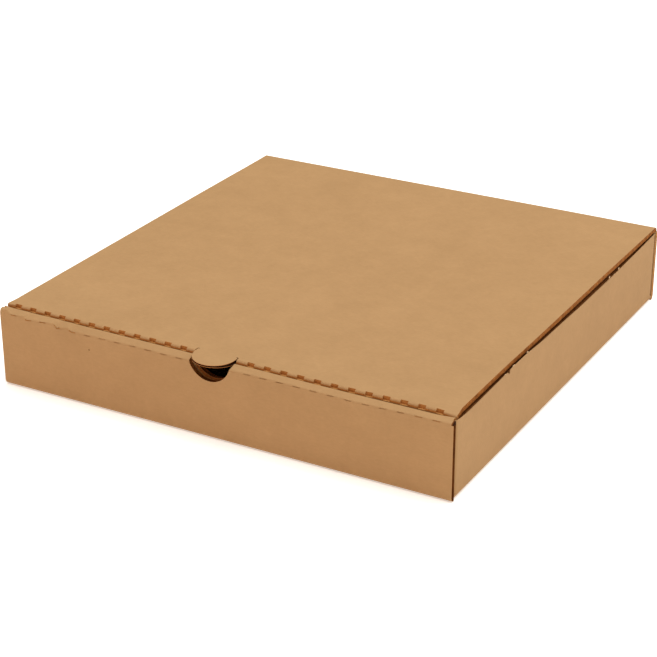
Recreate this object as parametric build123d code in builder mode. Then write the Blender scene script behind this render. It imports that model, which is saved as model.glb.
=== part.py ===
from build123d import *
import math
import os

os.makedirs("parts", exist_ok=True)

# Pizza box folded from one die-cut sheet of kraft corrugated board, in millimetres.
# The origin is the middle of the underside, the front wall faces -Y and +Z is up.

# Whole box over its outer faces
box_width = 308.0
box_depth = 320.0

# Board and how it folds and fits
board = 3.0                   # B flute, liner to liner
perforated_radius = 1.6       # outside of a perforated crease, which folds crisper
fold_inner_radius = 0.2       # left inside a crease once it is folded
fit_gap = 0.3                 # air between boards that lie side by side
join_overlap = 0.2            # how far two runs of the same board pass into each other
cut_overrun = 20.0            # how far a cutting shape passes the board it cuts

# Walls
side_wall_height = 48.0
back_wall_height = 49.7
outer_crease_height = 47.2    # middle of the board at the front wall's outer crease
ridge_rise = 1.5              # the ridge's inner crease stands this much higher
front_wall_depth = 7.0        # both boards of the rolled front wall and the air between

# Dust flaps at the ends of the side walls
dust_flap_length = 50.0
dust_flap_corner = 8.0
dust_flap_end_gap = 2.0       # between a front dust flap and the inner front panel

# Tabs of the inner front panel and their slots in the bottom
lock_tab_width = 42.0
lock_tab_from_middle = 64.0
lock_tab_recess = 0.5         # the tab ends this much above the underside

# Thumb notch through the rolled front wall
notch_radius = 14.2
notch_shift = -2.4            # the die cut it a little left of the middle
notch_past_ridge_middle = 1.0 # and a little nearer to the ridge's inner crease

# Perforated creases
perforation_pitch = 10.97
perforation_cut = 4.6
first_perforation = 23.0      # from the middle of its row
lid_perforation_shift = -1.6  # the lid's row stands a little left of the ridge's
lid_cut_depth = 1.4           # back from the lid's fold
lid_cut_height = 2.4          # down from the lid's top
ridge_cut_opening = 0.5
ridge_cut_depth = 0.7

# Lid, its tuck flap and the tongue over the notch
lid_inset = 0.8               # a side edge stands in from the side wall's face, at the back
lid_front_inset = 1.8         # and at the front, so that the lid closes between the fingers
lid_front_height = 52.0
lid_back_height = 53.3
hinge_gap = 0.2               # between the lid's bent rear edge and the back wall's top
tuck_flap_bottom = 26.0
tuck_flap_lean = 1.2          # the flap's lower edge stands this much further in
tuck_flap_side_gap = 2.0
tuck_flap_taper = 6.0
tuck_flap_corner = 9.0
tongue_droop = 1.0            # degrees, forwards
tongue_tip_board = 1.3        # the board is pressed thin towards the tongue's tip

# Places that follow from the sizes above
half_board = board / 2
fold_radius = fold_inner_radius + half_board
fold_reach = fold_radius + half_board
crease_radius = fold_inner_radius + board
front = -box_depth / 2
back = box_depth / 2
side = box_width / 2
inner_side = side - board
wall_mid = side - half_board
above_bottom = board + fit_gap
outer_mid = front + half_board
inner_mid = front + front_wall_depth - half_board
back_mid = back - half_board
front_flap_mid = front + board + fit_gap + half_board
back_flap_mid = back - board - fit_gap - half_board
dust_flap_end = side - dust_flap_length
inner_panel_half_width = dust_flap_end - dust_flap_end_gap
ridge_half_width = inner_side - fit_gap

# The outer crease turns the board from the front wall into the sloping ridge
inner_crease_height = outer_crease_height + ridge_rise
ridge_angle = math.atan2(ridge_rise, inner_mid - outer_mid)
outer_half_turn = (math.pi / 2 - ridge_angle) / 2
outer_fold_start = outer_crease_height - fold_radius * math.tan(outer_half_turn)
outer_corner = (front, outer_crease_height + half_board * math.tan(outer_half_turn))
inner_fold_start = inner_crease_height - fold_radius / math.tan(outer_half_turn)
dust_flap_height = outer_fold_start - fit_gap

# The blank's round hole lies across the ridge, so both panels carry the same arc
half_ridge = (inner_mid - outer_mid) / math.cos(ridge_angle) / 2 + half_board
outer_notch_height = outer_crease_height + half_ridge + notch_past_ridge_middle
inner_notch_height = inner_crease_height + half_ridge - notch_past_ridge_middle

# Lid, seen from the side
lid_front = front + front_wall_depth + fit_gap
lid_fold_mid = lid_front + half_board
lid_front_mid = lid_front_height - half_board
lid_back_mid = lid_back_height - half_board
tongue_root = lid_fold_mid + fold_radius
shoulder_height = lid_front_height - fold_reach - fit_gap
lid_side = side - lid_inset
lid_front_side = side - lid_front_inset
tuck_flap_side = inner_side - tuck_flap_side_gap
lid_slope = (lid_back_mid - lid_front_mid) / (back_mid - lid_fold_mid)
tongue_radius = notch_radius - 2 * fit_gap


def folded_board(radii, *points):
    """Section of a board whose middle line is folded at the points, with the outside radii."""
    section = trace(Polyline(*points), line_width=board)
    for before, bend, after, outer_radius in zip(points, points[1:], points[2:], radii):
        middle = Vector(*bend)
        coming = (Vector(*before) - middle).normalized()
        going = (Vector(*after) - middle).normalized()
        half_angle = math.radians(coming.get_angle(going)) / 2
        to_inside = (coming + going).normalized() * (half_board / math.sin(half_angle))
        for corner, radius in ((middle + to_inside, fold_inner_radius), (middle - to_inside, outer_radius)):
            section = fillet(section.vertices().sort_by_distance(corner)[0], radius)
    return section


def cut_planes(half_width, shift):
    """Side view planes in the middle of each perforation of a crease."""
    count = int((half_width - first_perforation - perforation_cut) / perforation_pitch) + 1
    steps = [first_perforation + perforation_pitch * step for step in range(count)]
    return [Plane.YZ.offset(shift + hand * step) for hand in (-1, 1) for step in steps]


front_roll = folded_board(
    (crease_radius, perforated_radius, perforated_radius),
    (front + fold_reach + fit_gap, half_board),
    (outer_mid, half_board),
    (outer_mid, outer_crease_height),
    (inner_mid, inner_crease_height),
    (inner_mid, above_bottom),
)
back_fold = folded_board(
    (crease_radius,),
    (back - fold_reach - fit_gap, half_board),
    (back_mid, half_board),
    (back_mid, back_wall_height),
)
bottom_fold = folded_board(
    (crease_radius, crease_radius),
    (-wall_mid, above_bottom + join_overlap),
    (-wall_mid, half_board),
    (wall_mid, half_board),
    (wall_mid, above_bottom + join_overlap),
)
side_folds = [
    folded_board(
        (crease_radius, crease_radius),
        (hand * dust_flap_end, front_flap_mid),
        (hand * wall_mid, front_flap_mid),
        (hand * wall_mid, back_flap_mid),
        (hand * dust_flap_end, back_flap_mid),
    )
    for hand in (-1, 1)
]
lid_fold = folded_board(
    (crease_radius, perforated_radius),
    (back_mid, back_wall_height + hinge_gap),
    (back_mid, lid_back_mid),
    (lid_fold_mid, lid_front_mid),
    (lid_fold_mid + tuck_flap_lean, tuck_flap_bottom),
)

with BuildPart() as tray:
    # Front wall: outer panel, sloping ridge and inner panel are one rolled board
    with BuildSketch(Plane.YZ):
        add(front_roll)
    extrude(amount=side, both=True)

    # Behind the outer panel the roll ends between the side walls
    end_width = side - ridge_half_width
    with BuildSketch():
        with Locations(*[(hand * (side - end_width / 2), front + board) for hand in (-1, 1)]):
            Rectangle(end_width, cut_overrun, align=(Align.CENTER, Align.MIN))
    extrude(amount=side_wall_height + cut_overrun, mode=Mode.SUBTRACT)

    # The inner panel ends between the front dust flaps
    relief_width = side - inner_panel_half_width
    with BuildSketch(Plane.XY.offset(board)):
        with Locations(*[(hand * (side - relief_width / 2), inner_mid) for hand in (-1, 1)]):
            Rectangle(relief_width, board + fit_gap)
    extrude(amount=inner_fold_start - board, mode=Mode.SUBTRACT)

    # Back wall, cut free of the side walls at its corners
    with BuildSketch(Plane.YZ):
        add(back_fold)
    extrude(amount=side, both=True)
    with BuildSketch():
        with Locations(*[(hand * (side - end_width / 2), back - board) for hand in (-1, 1)]):
            Rectangle(end_width, cut_overrun, align=(Align.CENTER, Align.MAX))
    extrude(amount=board, mode=Mode.SUBTRACT)

    # Bottom panel with the creases of the side walls
    with BuildSketch(Plane.XZ):
        add(bottom_fold)
    extrude(amount=back - board - fit_gap, both=True)

    # Slots in the bottom, and the lock tabs that stand in them
    tab_places = [(hand * lock_tab_from_middle, inner_mid) for hand in (-1, 1)]
    with BuildSketch():
        with Locations(*tab_places):
            Rectangle(lock_tab_width + 2 * fit_gap, board + 2 * fit_gap)
    extrude(amount=board, mode=Mode.SUBTRACT)
    with BuildSketch(Plane.XY.offset(lock_tab_recess)):
        with Locations(*tab_places):
            Rectangle(lock_tab_width, board)
    extrude(amount=above_bottom + join_overlap - lock_tab_recess)

    # Side walls, each with a dust flap folded in at both ends
    with BuildSketch(Plane.XY.offset(above_bottom)):
        add(side_folds)
    extrude(amount=dust_flap_height - above_bottom)
    flap_end_edges = (
        tray.faces().filter_by(Axis.X)
        .filter_by(lambda face: abs(abs(face.center().X) - dust_flap_end) < join_overlap)
        .edges().filter_by(Axis.Y)
    )
    fillet(flap_end_edges, dust_flap_corner)

    # The side walls stand a little higher than their flaps
    with BuildSketch(Plane.XY.offset(dust_flap_height)):
        add(side_folds)
        Rectangle(2 * inner_side, box_depth, mode=Mode.SUBTRACT)
    extrude(amount=side_wall_height - dust_flap_height)

    # Half-moon thumb notch through both front panels and the ridge
    for notch_height, far_side, depth in (
        (outer_notch_height, front - fit_gap, outer_mid + half_board + fit_gap),
        (inner_notch_height, outer_mid + half_board, inner_mid + half_board + fit_gap),
    ):
        with BuildSketch(Plane.XZ.offset(-far_side)):
            with Locations((notch_shift, notch_height)):
                Circle(notch_radius)
        extrude(amount=far_side - depth, mode=Mode.SUBTRACT)

    # Perforation of the outer crease, opened a little by the fold
    with BuildSketch(*cut_planes(ridge_half_width, 0)):
        with Locations(outer_corner):
            Rectangle(ridge_cut_opening, 2 * ridge_cut_depth, rotation=math.degrees(outer_half_turn))
    extrude(amount=perforation_cut / 2, both=True, mode=Mode.SUBTRACT)

tray.part.label = "tray"
export_step(tray.part, "parts/tray.step")

with BuildPart() as lid:
    # Lid panel, bent down at the back to meet the back wall and at the front into the tuck flap
    with BuildSketch(Plane.YZ):
        add(lid_fold)
    extrude(amount=side, both=True)

    # Outline from the top: the lid tapers a little towards the front
    with BuildSketch():
        with BuildLine():
            Polyline(
                (-lid_front_side, lid_front),
                (lid_front_side, lid_front),
                (lid_side, back),
                (-lid_side, back),
                close=True,
            )
        make_face()
    extrude(amount=lid_back_height + cut_overrun, mode=Mode.INTERSECT)

    # Outline from the front: the tuck flap is narrower than the lid, tapered and rounded
    with BuildSketch(Plane.XZ) as outline:
        with Locations((0, shoulder_height)):
            Rectangle(box_width, cut_overrun, align=(Align.CENTER, Align.MIN))
        with BuildLine():
            Polyline(
                (-tuck_flap_side, shoulder_height),
                (-tuck_flap_side + tuck_flap_taper, tuck_flap_bottom - join_overlap),
                (tuck_flap_side - tuck_flap_taper, tuck_flap_bottom - join_overlap),
                (tuck_flap_side, shoulder_height),
                close=True,
            )
        make_face()
        fillet(outline.vertices().group_by(Axis.Y)[0], tuck_flap_corner)
    extrude(amount=box_depth, both=True, mode=Mode.INTERSECT)

    # The tongue stays in the lid's plane and leaves its own outline open in fold and flap
    lid_under_tongue = lid_front_mid + lid_slope * (tongue_root - lid_fold_mid) - half_board
    with BuildSketch(Plane.XZ.offset(-tongue_root - board)):
        with Locations((notch_shift, lid_front_mid)):
            Circle(notch_radius)
        with Locations((notch_shift, lid_under_tongue - fit_gap)):
            Rectangle(2 * notch_radius, cut_overrun, align=(Align.CENTER, Align.MAX), mode=Mode.INTERSECT)
    extrude(amount=cut_overrun, mode=Mode.SUBTRACT)
    with BuildSketch(Plane.XZ.offset(-tongue_root)):
        with Locations((notch_shift, lid_under_tongue - 2 * fit_gap)):
            Rectangle(2 * notch_radius, cut_overrun, align=(Align.CENTER, Align.MIN))
    extrude(amount=cut_overrun, mode=Mode.SUBTRACT)

    # Half-disc tongue, struck from the lid's front
    droop = math.radians(tongue_droop)
    tongue_neck = tongue_root - lid_front
    tongue_length = tongue_neck + tongue_radius
    tongue_plane = Plane(
        origin=(notch_shift, tongue_root, lid_under_tongue),
        x_dir=(1, 0, 0),
        z_dir=(0, -math.sin(droop), math.cos(droop)),
    )
    with BuildSketch(tongue_plane):
        with Locations((0, -tongue_neck)):
            Circle(tongue_radius)
            Rectangle(2 * tongue_radius, tongue_radius, align=(Align.CENTER, Align.MIN), mode=Mode.SUBTRACT)
            Rectangle(2 * tongue_radius, tongue_neck + join_overlap, align=(Align.CENTER, Align.MIN))
    extrude(amount=board)

    # Handling has pressed the tongue thinner towards its tip
    tongue_profile = Plane(
        origin=(notch_shift, tongue_root, lid_under_tongue),
        x_dir=(0, -math.cos(droop), -math.sin(droop)),
        z_dir=(1, 0, 0),
    )
    with BuildSketch(tongue_profile):
        with BuildLine():
            Polyline(
                (0, 0),
                (tongue_length + fit_gap, tongue_tip_board - board),
                (tongue_length + fit_gap, fit_gap),
                (0, fit_gap),
                close=True,
            )
        make_face()
    extrude(amount=notch_radius, both=True, mode=Mode.SUBTRACT)

    # Perforation of the front crease, torn open by the fold
    with BuildSketch(*cut_planes(lid_front_side, lid_perforation_shift)):
        with Locations((lid_front, lid_front_height)):
            Rectangle(2 * lid_cut_depth, 2 * lid_cut_height)
    extrude(amount=perforation_cut / 2, both=True, mode=Mode.SUBTRACT)

lid.part.label = "lid"
export_step(lid.part, "parts/lid.step")
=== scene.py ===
import math

import bmesh
import bpy
from mathutils import Matrix, Vector, noise
from mathutils.bvhtree import BVHTree


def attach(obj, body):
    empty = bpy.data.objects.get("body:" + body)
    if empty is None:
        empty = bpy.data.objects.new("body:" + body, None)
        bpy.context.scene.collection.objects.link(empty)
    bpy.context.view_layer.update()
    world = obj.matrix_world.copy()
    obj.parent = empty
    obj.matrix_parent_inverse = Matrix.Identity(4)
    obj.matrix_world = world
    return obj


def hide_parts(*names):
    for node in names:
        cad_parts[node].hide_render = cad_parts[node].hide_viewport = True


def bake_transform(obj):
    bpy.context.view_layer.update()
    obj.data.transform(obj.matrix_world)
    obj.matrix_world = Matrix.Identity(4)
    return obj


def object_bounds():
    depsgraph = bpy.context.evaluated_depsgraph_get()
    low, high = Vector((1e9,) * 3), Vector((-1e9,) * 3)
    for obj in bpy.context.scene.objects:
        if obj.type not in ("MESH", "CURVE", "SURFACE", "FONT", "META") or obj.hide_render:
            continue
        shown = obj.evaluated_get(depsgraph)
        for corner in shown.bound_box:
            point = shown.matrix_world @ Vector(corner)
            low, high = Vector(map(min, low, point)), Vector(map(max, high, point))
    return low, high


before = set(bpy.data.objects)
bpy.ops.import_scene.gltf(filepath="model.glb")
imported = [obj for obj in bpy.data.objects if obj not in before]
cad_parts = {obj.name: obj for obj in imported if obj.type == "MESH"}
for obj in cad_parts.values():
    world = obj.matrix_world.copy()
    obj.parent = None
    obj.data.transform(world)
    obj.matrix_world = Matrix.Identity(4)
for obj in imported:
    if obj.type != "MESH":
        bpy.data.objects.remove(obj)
cad_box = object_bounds()

MM = 0.001

# Sizes and places of the box in millimetres, the same as in the part
FRONT = -160.0
BACK = 160.0
SIDE = 154.0
BOARD = 3.0
ROLL_DEPTH = 7.0
ROLL_HALF_WIDTH = 150.7
LID_FRONT = FRONT + 7.3
LID_HALF_WIDTH = 153.2
LID_FOLD_MIDDLE = 48.8
FOLD_RADIUS = 3.2
DUST_FLAP_END = 104.0
DUST_FLAP_FACES = (3.2, 6.4)
FIRST_RIDGE_CUT = 23.0
CUT_PITCH = 10.97
CUT_LENGTH = 4.6
CUTS_A_SIDE = 12
TONGUE_MIDDLE = -2.4
TONGUE_HALF_WIDTH = 14.3
SEAM_BOTTOM = 49.7
SEAM_TOP = 49.9

# How far a point may miss a place in millimetres, and an axis as the share of a normal
SLACK = 0.1
FACING = 0.7


def linear(code):
    """A colour from its sRGB hex code."""
    channels = [int(code[place:place + 2], 16) / 255 for place in (0, 2, 4)]
    shares = [c / 12.92 if c <= 0.04045 else ((c + 0.055) / 1.055) ** 2.4 for c in channels]
    return (*shares, 1.0)


def add(tree, kind, settings=None, inputs=None):
    """A node of that kind with its settings; an input is a value or another node's output."""
    node = tree.nodes.new(kind)
    for name, value in (settings or {}).items():
        setattr(node, name, value)
    for name, value in (inputs or {}).items():
        if isinstance(value, bpy.types.NodeSocket):
            tree.links.new(value, node.inputs[name])
        else:
            node.inputs[name].default_value = value
    return node


def shader_tree(name):
    """A new node material, its tree and its surface shader."""
    material = bpy.data.materials.new(name)
    material.use_nodes = True
    tree = material.node_tree
    return material, tree, tree.nodes["Principled BSDF"]


def per_metre(millimetres):
    """The scale of a noise whose cells are that large, on coordinates in metres."""
    return 1 / (millimetres * MM)


def new_object(name, form):
    """An object in the scene from a finished bmesh."""
    mesh = bpy.data.meshes.new(name)
    form.to_mesh(mesh)
    form.free()
    piece = bpy.data.objects.new(name, mesh)
    bpy.context.scene.collection.objects.link(piece)
    return piece


# Camera, fitted to the outline of the box in the photograph, with its offsets in metres
AZIMUTH = math.radians(29.1662)
ELEVATION = math.radians(24.6828)
ROLL = math.radians(-0.1614)
DISTANCE = 1.20403
SIDEWAYS = -0.01085
UPWARDS = 0.00684
SENSOR_WIDTH = 36.0
FOCAL_SHARE = 1832.83 / 657


def make_camera():
    back = Vector((
        math.sin(AZIMUTH) * math.cos(ELEVATION),
        -math.cos(AZIMUTH) * math.cos(ELEVATION),
        math.sin(ELEVATION),
    ))
    level = Vector((math.cos(AZIMUTH), math.sin(AZIMUTH), 0))
    above = back.cross(level)
    right = math.cos(ROLL) * level + math.sin(ROLL) * above
    up = -math.sin(ROLL) * level + math.cos(ROLL) * above
    data = bpy.data.cameras.new("photo_camera")
    data.sensor_width = SENSOR_WIDTH
    data.lens = FOCAL_SHARE * SENSOR_WIDTH
    data.clip_start = 0.05
    data.clip_end = 50.0
    camera = bpy.data.objects.new("photo_camera", data)
    turn = Matrix((right, up, back)).transposed().to_4x4()
    place = back * DISTANCE + right * SIDEWAYS + up * UPWARDS
    camera.matrix_world = Matrix.Translation(place) @ turn
    bpy.context.scene.collection.objects.link(camera)
    bpy.context.scene.camera = camera


def make_floor():
    form = bmesh.new()
    bmesh.ops.create_grid(form, x_segments=1, y_segments=1, size=6.0)
    floor = new_object("floor", form)
    material, tree, shader = shader_tree("matt_white_paper_sweep")
    shader.inputs["Base Color"].default_value = linear("fcfaf5")
    shader.inputs["Roughness"].default_value = 0.9
    # The sweep is lit through from below, so that the box hardly shades it
    shader.inputs["Emission Color"].default_value = linear("f1f8fa")
    shader.inputs["Emission Strength"].default_value = 0.4
    floor.data.materials.append(material)


def soft_light(name, place, target, size, watts, colour):
    data = bpy.data.lights.new(name, "AREA")
    data.shape = "SQUARE"
    data.size = size
    data.energy = watts
    data.color = linear(colour)[:3]
    lamp = bpy.data.objects.new(name, data)
    lamp.location = place
    lamp.rotation_mode = "QUATERNION"
    lamp.rotation_quaternion = (Vector(target) - Vector(place)).to_track_quat("-Z", "Y")
    bpy.context.scene.collection.objects.link(lamp)


def make_light():
    world = bpy.data.worlds.new("studio")
    world.use_nodes = True
    sky = world.node_tree.nodes["Background"]
    sky.inputs["Color"].default_value = linear("ffe1bf")
    sky.inputs["Strength"].default_value = 0.45
    bpy.context.scene.world = world
    soft_light("top_softbox", (0.3, 0.5, 3.2), (0, 0.2, 0), 4.0, 151, "edf8ff")
    soft_light("right_softbox", (2.3, 0.3, 1.1), (0, 0, 0.02), 1.6, 3.4, "ffdbdf")
    soft_light("warm_front_card", (-0.5, -1.6, 0.25), (-0.05, 0, 0.02), 0.7, 2.1, "ff5927")


# Scales of the liner's pattern in millimetres: its clouds, its mottle, its fibres, which are
# drawn coarser than real ones so that they show, and the wave of the fluting under it
CLOUD = 34
MOTTLE = 8
FIBRE = 1.3
FLUTE_PITCH = 6.4


def kraft_liner():
    # Brown kraft liner paper pressed on flutes: matt, faintly cloudy and mottled, with fine
    # fibres across the flutes and the soft washboard that the flutes leave in it
    material, tree, shader = shader_tree("brown_kraft_liner")
    place = add(tree, "ShaderNodeTexCoord")
    sheet = add(tree, "ShaderNodeUVMap", {"uv_map": "sheet"})
    cloud = add(tree, "ShaderNodeTexNoise", inputs={
        "Vector": place.outputs["Object"], "Scale": per_metre(CLOUD),
        "Detail": 6.0, "Roughness": 0.78})
    tone = add(tree, "ShaderNodeValToRGB", inputs={"Fac": cloud.outputs["Fac"]})
    stops = tone.color_ramp.elements
    stops[0].position, stops[0].color = 0.28, linear("a88358")
    stops[1].position, stops[1].color = 0.72, linear("b18b5f")
    stretch = add(tree, "ShaderNodeMapping", inputs={
        "Vector": sheet.outputs["UV"], "Scale": (0.4, 1.0, 1.0)})
    fibre = add(tree, "ShaderNodeTexNoise", inputs={
        "Vector": stretch.outputs["Vector"], "Scale": per_metre(FIBRE),
        "Detail": 3.0, "Roughness": 0.6})
    fleck = add(tree, "ShaderNodeMapRange", inputs={
        "Value": fibre.outputs["Fac"], "From Min": 0.3, "From Max": 0.7,
        "To Min": 0.965, "To Max": 1.03})
    mottle = add(tree, "ShaderNodeTexNoise", inputs={
        "Vector": place.outputs["Object"], "Scale": per_metre(MOTTLE),
        "Detail": 2.0, "Roughness": 0.7})
    patches = add(tree, "ShaderNodeMapRange", inputs={
        "Value": mottle.outputs["Fac"], "From Min": 0.3, "From Max": 0.7,
        "To Min": 0.982, "To Max": 1.018})
    shade = add(tree, "ShaderNodeMath", {"operation": "MULTIPLY"}, {
        0: fleck.outputs["Result"], 1: patches.outputs["Result"]})
    grain = add(tree, "ShaderNodeVectorMath", {"operation": "MULTIPLY"}, {
        0: tone.outputs["Color"], 1: shade.outputs["Value"]})
    tree.links.new(grain.outputs["Vector"], shader.inputs["Base Color"])
    flutes = add(tree, "ShaderNodeTexWave", inputs={
        "Vector": sheet.outputs["UV"], "Scale": math.pi / (10 * FLUTE_PITCH * MM),
        "Distortion": 0.6, "Detail": 1.0})
    washboard = add(tree, "ShaderNodeBump", inputs={
        "Strength": 0.25, "Distance": 0.04 * MM, "Height": flutes.outputs["Fac"]})
    bump = add(tree, "ShaderNodeBump", inputs={
        "Strength": 0.4, "Distance": 0.03 * MM, "Height": fibre.outputs["Fac"],
        "Normal": washboard.outputs["Normal"]})
    tree.links.new(bump.outputs["Normal"], shader.inputs["Normal"])
    shader.inputs["Roughness"].default_value = 0.82
    shader.inputs["Specular IOR Level"].default_value = 0.25
    return material


def blotched_paper(name, dark, light, blotch_size):
    """A matt bare paper whose shade varies between two colours."""
    material, tree, shader = shader_tree(name)
    place = add(tree, "ShaderNodeTexCoord")
    blotch = add(tree, "ShaderNodeTexNoise", inputs={
        "Vector": place.outputs["Object"], "Scale": per_metre(blotch_size),
        "Detail": 3.0, "Roughness": 0.6})
    tone = add(tree, "ShaderNodeValToRGB", inputs={"Fac": blotch.outputs["Fac"]})
    stops = tone.color_ramp.elements
    stops[0].position, stops[0].color = 0.3, linear(dark)
    stops[1].position, stops[1].color = 0.7, linear(light)
    tree.links.new(tone.outputs["Color"], shader.inputs["Base Color"])
    bump = add(tree, "ShaderNodeBump", inputs={
        "Strength": 0.6, "Distance": 0.1 * MM, "Height": blotch.outputs["Fac"]})
    tree.links.new(bump.outputs["Normal"], shader.inputs["Normal"])
    shader.inputs["Roughness"].default_value = 0.9
    shader.inputs["Specular IOR Level"].default_value = 0.1
    return material


LINER, KNIFE_CUT, RIM, FLUTING_AND_SHADE, TORN_AND_GROOVE_SHADE, DEEP_SHADE_PAINTED = range(6)


def board_finishes():
    """The materials of a board, in the order of the numbers above."""
    return (
        kraft_liner(),
        # Edge along the flutes, pressed shut by the cutting knife: dense, dark orange brown
        blotched_paper("knife_cut_edge", "6f3f18", "a0632a", 3),
        # Cut edge of a liner: the same pulp without its calendered skin, more orange
        blotched_paper("cut_liner_edge", "a5683a", "bf834d", 3),
        # Fluting paper deep between the liners: thin brown recycled pulp, mostly in shade, with
        # that shade also painted into its dark colour
        blotched_paper("brown_fluting_and_painted_shade", "603616", "7c4b20", 4),
        # Board broken open along a perforation: rough and orange brown; also painted over the
        # lid's fold as shade in the groove there
        blotched_paper("torn_perforation_and_groove_shade", "ab7640", "c48c50", 2.5),
        # Painted shade: fluting too deep in the board for light to reach, painted nearly black,
        # warm
        blotched_paper("deep_fluting_painted_shade", "2c1608", "40220f", 4),
    )


def between(table, place):
    """The value at a place, read off a table of places and values."""
    if place <= table[0][0]:
        return table[0][1]
    for (low, at_low), (high, at_high) in zip(table, table[1:]):
        if place <= high:
            return at_low + (at_high - at_low) * (place - low) / (high - low)
    return table[-1][1]


def faded(place, start, end):
    """A share that goes smoothly from 0 at the start to 1 at the end."""
    share = min(max((place - start) / (end - start), 0.0), 1.0)
    return share * share * (3 - 2 * share)


# How far handling has moved the folds up or down, by their place along x, in millimetres
OUTER_CREASE_LIFT = (
    (-154, 1.3), (-148, 1.5), (-145.5, 0.9), (-136, 1.4), (-134.6, -0.2), (-124.6, 0.8),
    (-113.4, 1.7), (-111.4, -0.5), (-103.4, 1.1), (-100.6, -0.6), (-94, -0.5), (-79, -0.3),
    (-51, 0.0), (-29, -0.3), (32, 0.0), (52, 0.1), (71, -0.2), (90, -0.4), (109, -0.1),
    (127, 0.4), (146, 0.6), (154, 0.6),
)
INNER_CREASE_LIFT = (
    (-154, 0.6), (-143, 0.4), (-120, 0.3), (-75, 0.0), (-33, -0.3), (29, -0.5), (49, -0.8),
    (88, -0.9), (143, -1.0), (148.5, -0.35), (152, 0.0),
)
LID_FRONT_LIFT = (
    (-154, 0.65), (-145, 0.6), (-120, 0.3), (-77, 0.0), (-34, -0.2), (27, -0.6), (47, -0.7),
    (67, -1.0), (86, -0.9), (105, -0.6), (123, -0.4), (154, -0.4),
)

# The same by their place along y: the left end of the ridge, the lid's side edges, its right
# front corner and the top of the right wall
LEFT_END_LIFT = ((-160, 0.3), (-158.8, 1.5), (-157, 1.2), (-153, -0.1))
LID_LEFT_LIFT = (
    (-152, 0.0), (-120, 0.3), (-99, 0.6), (-55, 0.55), (-9, 0.45), (66, 0.4), (93, 0.35),
    (125, 0.0),
)
LID_RIGHT_LIFT = (
    (-146, 0.6), (-110, 0.75), (-80, 0.7), (-40, 0.3), (40, 0.3), (60, 0.38), (100, 0.1),
    (145, -0.2),
)
LID_CORNER_LIFT = ((-153, -1.2), (-149.5, -1.1), (-145.5, 0.0))
RIGHT_WALL_LIFT = (
    (-157, 2.0), (-154, 1.3), (-150, 0.6), (-140, 0.2), (-120, 0.6), (-100, 1.2), (-88, 1.6),
    (-86.8, -0.4), (-85.4, -0.4), (-84.5, 1.9), (-80, 2.1), (-60, 2.1), (-50, 1.4), (-40, 0.75),
    (0, 0.2), (20, -0.4), (80, -0.4), (100, 0.1), (120, 0.5), (145, 1.4), (154, 1.75),
)

# How far the ends of the ridge are pulled out to the right and the left, how far the left
# wall's front end is pressed down, and how much of the right wall's lift reaches its inside
RIGHT_REACH = 1.5
LEFT_REACH = 3.0
LEFT_WALL_DROP = 2.1
INNER_SHARE = 0.3

# The lid's left front corner: how square its fold is pressed, from where around the fold,
# and how far it is pulled out to the left and forwards
CORNER_CRISPNESS = 0.75
CRISP_FROM = 0.6
CORNER_OUT = 0.7
CORNER_FORWARDS = 0.8

# Between which places the marks of handling set in, from nothing to full: heights first,
# then places along x or y on the tray, then on the lid
RIDGE_HEIGHTS = (43, 47)
REACH_HEIGHTS = (44, 46)
WALL_HEIGHTS = (40, 47)
LID_HEIGHTS = (30, 45)
RIGHT_RIDGE_END = (146, ROLL_HALF_WIDTH)
LEFT_RIDGE_END = (-146, -ROLL_HALF_WIDTH)
LEFT_REACH_END = (-140, -ROLL_HALF_WIDTH)
LEFT_WALL_FRONT = (FRONT + 16, FRONT + 8)
LID_NEAR_FRONT = (LID_FRONT + 63, LID_FRONT + 3)
LID_NEAR_LEFT = (100 - LID_HALF_WIDTH, -LID_HALF_WIDTH)
LID_NEAR_RIGHT = (LID_HALF_WIDTH - 80, LID_HALF_WIDTH)
LID_BEHIND_CORNERS = (-152, -146)
LID_RIGHT_CORNER = (LID_HALF_WIDTH - 13, LID_HALF_WIDTH - 1)
LID_CRISP_END = (-143, -151)
LID_LEFT_CORNER = (-146, -153)
LID_FRONT_EDGE = (LID_FRONT + 7, LID_FRONT + 1)


def worn_roll(x, y, z):
    """Where handling has put a point of the rolled front wall, in millimetres."""
    depth = min(max((y - FRONT) / ROLL_DEPTH, 0.0), 1.0)
    lift = between(OUTER_CREASE_LIFT, x) * (1 - depth) + between(INNER_CREASE_LIFT, x) * depth
    lift += between(LEFT_END_LIFT, y) * faded(x, *LEFT_RIDGE_END)
    reach = 0.0
    if 0 < x < ROLL_HALF_WIDTH + SLACK:
        reach = RIGHT_REACH * faded(x, *RIGHT_RIDGE_END)
    elif x < 0 and y > FRONT + BOARD + SLACK:
        reach = -LEFT_REACH * faded(x, *LEFT_REACH_END)
    return x + reach * faded(z, *REACH_HEIGHTS), y, z + lift * faded(z, *RIDGE_HEIGHTS)


def worn_tray(x, y, z):
    """Where handling has put a point of the tray, in millimetres."""
    in_outer_panel = y < FRONT + BOARD + SLACK
    in_roll = abs(x) < ROLL_HALF_WIDTH + SLACK and y < FRONT + ROLL_DEPTH + SLACK
    inside_of_wall = SIDE - BOARD
    if in_outer_panel or in_roll:
        return worn_roll(x, y, z)
    if x > inside_of_wall - SLACK and y < BACK - BOARD - SLACK:
        share = INNER_SHARE + (1 - INNER_SHARE) * (x - inside_of_wall) / BOARD
        return x, y, z + between(RIGHT_WALL_LIFT, y) * share * faded(z, *WALL_HEIGHTS)
    if x < SLACK - inside_of_wall:
        drop = LEFT_WALL_DROP * faded(y, *LEFT_WALL_FRONT)
        return x, y, z - drop * faded(z, *WALL_HEIGHTS)
    return x, y, z


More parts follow.
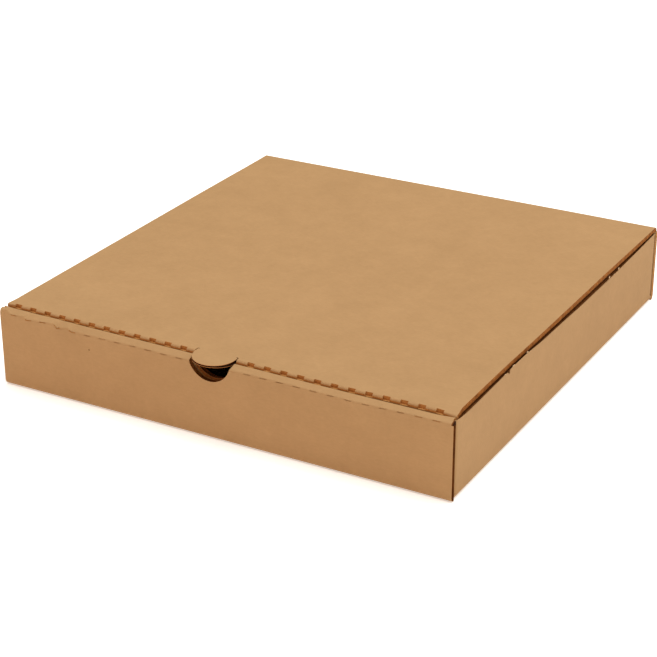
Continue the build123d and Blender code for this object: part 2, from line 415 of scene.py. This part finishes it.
def pressed_square(x, y, z):
    """The new y and z of a point of the lid's front fold, which is crisper at its left end."""
    out, up = LID_FRONT + FOLD_RADIUS - y, z - LID_FOLD_MIDDLE
    share = max(out, up) / FOLD_RADIUS
    if min(out, up) <= 0 or share <= CRISP_FROM:
        return y, z
    stretch = 1 + CORNER_CRISPNESS * faded(x, *LID_CRISP_END) * (1 / share - 1)
    return LID_FRONT + FOLD_RADIUS - out * stretch, LID_FOLD_MIDDLE + up * stretch


def worn_lid(x, y, z):
    """Where handling has put a point of the lid, in millimetres, inside the CAD model's box."""
    lift = (
        between(LID_FRONT_LIFT, x) * faded(y, *LID_NEAR_FRONT)
        + between(LID_LEFT_LIFT, y) * faded(x, *LID_NEAR_LEFT)
        + between(LID_RIGHT_LIFT, y) * faded(x, *LID_NEAR_RIGHT) * faded(y, *LID_BEHIND_CORNERS)
        + between(LID_CORNER_LIFT, y) * faded(x, *LID_RIGHT_CORNER)
    )
    y, z = pressed_square(x, y, z)
    corner = faded(x, *LID_LEFT_CORNER) * faded(y, *LID_FRONT_EDGE)
    foremost, highest = cad_box[0][1] / MM + 0.01, cad_box[1][2] / MM - 0.01
    return (
        x - CORNER_OUT * corner,
        max(y - CORNER_FORWARDS * corner, foremost),
        min(z + lift * faded(z, *LID_HEIGHTS), max(highest, z)),
    )


# A cut edge shorter than this, or narrower than this on average, in millimetres, isn't hollow
SHORT_CUT = 8
NARROW_CUT = 0.3

# How far the sides of a hollow lean inwards, in millimetres
HOLLOW_LEAN = 0.03

# Between these places along x, in millimetres, the cuts of the ridge have closed again; a
# crease is longer than any of them
CLOSED_CUTS = (-98, 125)
SHORTEST_CREASE = 20

# The lid's fold, painted as torn board and as shade in the groove under it: its lowest and
# highest place, and how far it goes back
TORN_AND_SHADED_FOLD_HEIGHTS = (48, 50.7)
TORN_AND_SHADED_FOLD_DEPTH = 2

# The slot at the right front corner, painted with shade: where along x the painted shade begins
# and where it turns near black, how far it goes back from the front, and its lowest place
CORNER_SLOT = 152.4
DARK_CORNER_SLOT = 153.3
CORNER_SLOT_DEPTH = 3.5
CORNER_SLOT_BOTTOM = 47.3


def hollow_of(node, low, high, area):
    """Depth of a cut edge's hollow, width of its rims, and the finishes of rims and hollow,
    some of them darkened as painted shade.
    """
    size = high - low
    on_hinge = low.y > BACK - BOARD - SLACK and size.z < SLACK
    if max(size) < SHORT_CUT or area < NARROW_CUT * max(size) or on_hinge:
        return None
    along_a_side = size.y > 200
    if along_a_side:
        return (0.5, 0.4, KNIFE_CUT, KNIFE_CUT) if node == "lid" else (0.9, 0.4, LINER, FLUTING_AND_SHADE)
    round_the_tongue = node == "lid" and low.y < FRONT - 1
    # The hollows round the tongue and in the notch's outer panel are painted near black, as
    # shade
    if round_the_tongue:
        return 0.9, 0.25, RIM, DEEP_SHADE_PAINTED
    round_the_notch = node == "tray" and 28 < size.x < 29
    if round_the_notch:
        in_outer_panel = low.y < FRONT + 1
        return (1.8, 0.2, FLUTING_AND_SHADE, DEEP_SHADE_PAINTED) if in_outer_panel else (0.3, 0.5, LINER, RIM)
    at_end_of_back_wall = size.x < 1 and low.y > BACK - 5
    if at_end_of_back_wall:
        return 0.3, 0.4, LINER, TORN_AND_GROOVE_SHADE
    return 1.0, 0.3, KNIFE_CUT, FLUTING_AND_SHADE


def finish_of_small_cut(node, low, high):
    """The finish of a perforation: most cuts of the ridge have closed again."""
    closed = node == "tray" and CLOSED_CUTS[0] < low.x and high.x < CLOSED_CUTS[1]
    return LINER if closed or high.x - low.x > SHORTEST_CREASE else TORN_AND_GROOVE_SHADE


# Between these two, and measured through the solid, there is one board
THIN_BOARD = 1.1 * MM
THICK_BOARD = 3.8 * MM

WELD = 0.002 * MM
SMOOTH_BELOW = math.radians(35)
FLAT_BELOW = math.radians(1)


def mark_sharp_edges(form):
    for edge in form.edges:
        edge.smooth = edge.is_manifold and edge.calc_face_angle() < SMOOTH_BELOW


def smooth_regions(form):
    """The faces in groups that sharp edges part from each other."""
    for face in form.faces:
        face.tag = False
    for first in list(form.faces):
        if first.tag:
            continue
        first.tag = True
        region, waiting = [], [first]
        while waiting:
            face = waiting.pop()
            region.append(face)
            for edge in face.edges:
                if not edge.smooth:
                    continue
                for other in edge.link_faces:
                    if not other.tag:
                        other.tag = True
                        waiting.append(other)
        yield region


def is_liner(face, tree):
    """Whether the solid is as thick as one board behind the face."""
    skin = 10 * WELD
    centre = face.calc_center_median()
    hit = tree.ray_cast(centre - face.normal * skin, -face.normal)
    through = (hit[3] or 1.0) + skin
    under_hinge = face.normal.z < -FACING and centre.y > (BACK - BOARD - 1) * MM
    return THIN_BOARD < through < THICK_BOARD and not under_hinge


def area_of(region):
    """The area of some faces, in square millimetres."""
    return sum(face.calc_area() for face in region) / MM ** 2


def corners_of(region):
    """Lowest and highest corner of some faces, in millimetres."""
    points = [corner.co / MM for face in region for corner in face.verts]
    low = Vector([min(point[axis] for point in points) for axis in range(3)])
    high = Vector([max(point[axis] for point in points) for axis in range(3)])
    return low, high


def give_finishes(form, node):
    """Gives each smooth region its finish; KNIFE_CUT marks the edges that become hollow."""
    tree = BVHTree.FromBMesh(form)
    for region in smooth_regions(form):
        whole = area_of(region)
        low, high = corners_of(region)
        if area_of(face for face in region if is_liner(face, tree)) > whole / 2:
            finish = LINER
        elif hollow_of(node, low, high, whole):
            finish = KNIFE_CUT
        else:
            finish = finish_of_small_cut(node, low, high)
        for face in region:
            face.material_index = finish


def tear_and_shade_lid_fold(form):
    """Paints the lid's perforated fold, up to the tongue, as torn board and as painted shade in
    the groove under it.
    """
    bottom, top = TORN_AND_SHADED_FOLD_HEIGHTS
    for face in form.faces:
        middle = face.calc_center_median() / MM
        lowest = min(corner.co.z for corner in face.verts) / MM
        beside_tongue = abs(middle.x - TONGUE_MIDDLE) > TONGUE_HALF_WIDTH
        in_front = middle.y < LID_FRONT + TORN_AND_SHADED_FOLD_DEPTH
        if beside_tongue and in_front and lowest > bottom and middle.z < top:
            face.material_index = TORN_AND_GROOVE_SHADE


def paint_shade_in_right_corner(form):
    """Paints the slot at the right front corner, above the outer panel's end, with shade: the
    fluting colour, then near black further out.
    """
    for face in form.faces:
        middle = face.calc_center_median() / MM
        in_front = middle.y < FRONT + CORNER_SLOT_DEPTH
        if in_front and middle.x > CORNER_SLOT and middle.z > CORNER_SLOT_BOTTOM:
            face.material_index = DEEP_SHADE_PAINTED if middle.x > DARK_CORNER_SLOT else FLUTING_AND_SHADE


def join_cut_edges(form):
    """Joins the triangles of each cut edge into its flat faces."""
    edges = [
        edge for edge in form.edges
        if edge.smooth and all(face.material_index == KNIFE_CUT for face in edge.link_faces)
    ]
    bmesh.ops.dissolve_limit(form, angle_limit=FLAT_BELOW, verts=[], edges=edges)


def hollow_cut_edge(form, region, depth, paper, rim, inside):
    """Sinks a cut edge between its two liners, which stay as thin rims."""
    edge = bmesh.ops.inset_region(
        form, faces=region, thickness=paper * MM, depth=0.0,
        use_even_offset=False, use_boundary=True)
    for face in edge["faces"]:
        face.material_index = rim
    sides = bmesh.ops.inset_region(
        form, faces=region, thickness=HOLLOW_LEAN * MM, depth=-depth * MM,
        use_even_offset=False, use_boundary=True)
    for face in sides["faces"] + region:
        face.material_index = inside


def hollow_cut_edges(form, node):
    cut_edges = [
        region for region in smooth_regions(form) if region[0].material_index == KNIFE_CUT]
    for region in cut_edges:
        hollow_cut_edge(form, region, *hollow_of(node, *corners_of(region), area_of(region)))


def slice_at(form, axis, places, keep):
    """Cuts the faces that keep() picks at planes across an axis."""
    for place in places:
        middle, direction = Vector(), Vector()
        middle[axis], direction[axis] = place * MM, 1.0
        faces = [face for face in form.faces if keep(face.calc_center_median() / MM)]
        edges = {edge for face in faces for edge in face.edges}
        corners = {corner for face in faces for corner in face.verts}
        bmesh.ops.bisect_plane(
            form, geom=[*corners, *edges, *faces], dist=0.01 * MM,
            plane_co=middle, plane_no=direction)


def steps(low, high, pitch):
    """Places from low to high, as near to a pitch apart as whole steps allow."""
    count = round((high - low) / pitch)
    return [low + (high - low) * step / count for step in range(count + 1)]


def tray_slices():
    """Where the tray is cut so that it can bend: axis, places, and which faces."""
    ridge_cuts = [FIRST_RIDGE_CUT + CUT_PITCH * number for number in range(CUTS_A_SIDE)]
    cut_ends = [
        hand * cut + end * CUT_LENGTH / 2
        for hand in (-1, 1) for cut in ridge_cuts for end in (-1, 1)
    ]
    torn_ends = [-136, -134.6, -113.4, -111.4, -103.4, -100.6]
    corner_places = [-148, -146, 146, 148, 151.3, 152.6, DARK_CORNER_SLOT]
    scuff_places = [-155.5, -152.5, -150, -145, -87.8, -86.8, -85.4, -84.6]

    def in_side_walls(middle):
        return abs(middle.x) > SIDE - BOARD - 1

    def in_walls(middle):
        return middle.y < FRONT + ROLL_DEPTH + 1 or in_side_walls(middle)

    def in_ridge(middle):
        return middle.y < FRONT + ROLL_DEPTH + 0.5 and middle.z > RIDGE_HEIGHTS[0]

    def in_top_of_side_walls(middle):
        return in_side_walls(middle) and middle.z > WALL_HEIGHTS[0]

    return (
        (2, (43.5, 45, 46, 47), in_walls),
        (0, sorted(cut_ends + torn_ends + steps(-150, 150, 5) + corner_places), in_ridge),
        (1, sorted(steps(-154, 154, 7) + scuff_places), in_top_of_side_walls),
    )


def lid_slices():
    """Where the lid is cut so that it can bend: axis, places, and which faces."""
    def near_top(middle):
        return middle.z > 40

    return (
        (1, sorted(steps(-145, 159, 8) + [-151.2, -149.5, -147.5]), near_top),
        (0, sorted(steps(-152, 152, 8) + [-148, -146]), near_top),
    )


def on_sheet(point, normal):
    """Where a point lies on the flat blank, with u across the flutes, in metres."""
    x, y, z = point
    behind_wall = (BACK * MM - abs(y)) / MM
    on_dust_flap = (
        abs(x) > DUST_FLAP_END * MM and DUST_FLAP_FACES[0] < behind_wall < DUST_FLAP_FACES[1])
    if abs(normal.x) > FACING:
        return z, y
    if abs(normal.y) > FACING:
        return (z, x) if on_dust_flap else (x, z)
    return x, y


def lay_out_sheet(form):
    """Gives the faces their places on the flat blank as the UV map "sheet"."""
    sheet = form.loops.layers.uv.new("sheet")
    for face in form.faces:
        face.smooth = True
        for corner in face.loops:
            corner[sheet].uv = on_sheet(corner.vert.co, face.normal)


def board_piece(node, finishes, slices, worn):
    """A merged copy of a CAD node with liners, hollow cut edges and the marks of handling."""
    form = bmesh.new()
    form.from_mesh(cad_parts[node].data)
    bmesh.ops.remove_doubles(form, verts=form.verts, dist=WELD)
    mark_sharp_edges(form)
    give_finishes(form, node)
    if node == "lid":
        tear_and_shade_lid_fold(form)
    join_cut_edges(form)
    hollow_cut_edges(form, node)
    for axis, places, keep in slices:
        slice_at(form, axis, places, keep)
    if node == "tray":
        paint_shade_in_right_corner(form)
    lay_out_sheet(form)
    for corner in form.verts:
        corner.co = Vector(worn(*(corner.co / MM))) * MM
    form.normal_update()
    mark_sharp_edges(form)
    piece = new_object(node + "_board", form)
    if "custom_normal" in piece.data.attributes:
        piece.data.attributes.remove(piece.data.attributes["custom_normal"])
    for finish in finishes:
        piece.data.materials.append(finish)
    level = piece.modifiers.new("flat_panels", "WEIGHTED_NORMAL")
    level.keep_sharp = True
    level.weight = 100
    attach(piece, node)
    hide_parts(node)


# The outer liner over the hinge crease, in millimetres
CREASE_THICKNESS = 1.1
CREASE_HEIGHT = 1.4
CREASE_RECESS = 0.02
CREASE_STEP = 0.02


def hinge_crease(finishes):
    """The pressed crease between back wall and lid, a thin bar sliced into strips across its
    height.
    """
    form = bmesh.new()
    made = bmesh.ops.create_cube(form, size=1.0)
    size = Vector((2 * (LID_HALF_WIDTH - SLACK), CREASE_THICKNESS, CREASE_HEIGHT)) * MM
    depth = CREASE_RECESS + CREASE_THICKNESS / 2
    centre = Vector((0, BACK - depth, (SEAM_BOTTOM + SEAM_TOP) / 2)) * MM
    bmesh.ops.scale(form, verts=made["verts"], vec=size)
    bmesh.ops.translate(form, verts=made["verts"], vec=centre)
    for place in steps(SEAM_BOTTOM, SEAM_TOP, CREASE_STEP):
        bmesh.ops.bisect_plane(
            form, geom=[*form.verts, *form.edges, *form.faces], dist=0.001 * MM,
            plane_co=(0, 0, place * MM), plane_no=(0, 0, 1))
    for face in form.faces:
        face.material_index = RIM if abs(face.normal.x) > FACING else LINER
    lay_out_sheet(form)
    mark_sharp_edges(form)
    piece = new_object("hinge_crease", form)
    for finish in finishes:
        piece.data.materials.append(finish)
    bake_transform(piece)


# Pale tufts where the liner of the right wall is scuffed, in millimetres: places along y and
# z, length and height, then what they share: how thick and how deep in the wall they are, how
# far each point is shaken and in what pattern, and how far they stay behind the wall's face
TUFTS = (
    (-91.5, 48.9, 2.4, 1.3), (-79.5, 49.9, 3.2, 1.3), (-59.5, 50.3, 2.4, 1.1),
    (52.5, 47.3, 1.8, 1.2), (71.5, 48.7, 2.2, 1.6), (80.0, 47.4, 2.0, 1.2),
    (88.0, 48.6, 2.6, 1.8),
)
TUFT_THICKNESS = 0.45
TUFT_RECESS = 0.35
TUFT_SHAKE = (0.12, 0.5, 0.5)
TUFT_CELL = 0.9
TUFT_CLEARANCE = 0.02
TUFT_SEED = 1


def torn_tufts():
    # Without a seed the noise starts from the clock, and the tufts differ from run to run
    noise.seed_set(TUFT_SEED)
    form = bmesh.new()
    for number, (y, z, length, height) in enumerate(TUFTS):
        made = bmesh.ops.create_icosphere(form, subdivisions=3, radius=0.5)
        size = Vector((TUFT_THICKNESS, length, height)) * MM
        place = Vector((SIDE - TUFT_RECESS, y, z)) * MM
        bmesh.ops.scale(form, verts=made["verts"], vec=size)
        bmesh.ops.translate(form, verts=made["verts"], vec=place)
        for corner in made["verts"]:
            cell = corner.co / (TUFT_CELL * MM) + Vector((0, 0, 7.0 * number))
            corner.co += noise.noise_vector(cell) * Vector(TUFT_SHAKE) * MM
            corner.co.x = min(corner.co.x, (SIDE - TUFT_CLEARANCE) * MM)
    for face in form.faces:
        face.smooth = True
    piece = new_object("torn_tufts", form)
    # Pale inner fibres of the liner, laid open where the board was scuffed
    piece.data.materials.append(blotched_paper("scuffed_pale_fibres", "b89a76", "cdae8a", 0.8))
    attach(piece, "tray")


FLECK_SIZE = (1.0, 0.1, 0.8)
FLECK_PLACE = (-87.7, FRONT, 38.4)


def paper_fleck():
    """A dark fleck of bark in the front wall's liner."""
    form = bmesh.new()
    made = bmesh.ops.create_icosphere(form, subdivisions=2, radius=0.5)
    bmesh.ops.scale(form, verts=made["verts"], vec=Vector(FLECK_SIZE) * MM)
    bmesh.ops.translate(form, verts=made["verts"], vec=Vector(FLECK_PLACE) * MM)
    for face in form.faces:
        face.smooth = True
    piece = new_object("paper_fleck", form)
    # Bark in the pulp: almost black against the liner
    piece.data.materials.append(blotched_paper("dark_bark_fleck", "3c2a1c", "553c28", 0.5))
    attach(piece, "tray")


bpy.context.scene.view_settings.view_transform = "Standard"
make_camera()
make_floor()
make_light()
finishes = board_finishes()
board_piece("tray", finishes, tray_slices(), worn_tray)
board_piece("lid", finishes, lid_slices(), worn_lid)
hinge_crease(finishes)
torn_tufts()
paper_fleck()
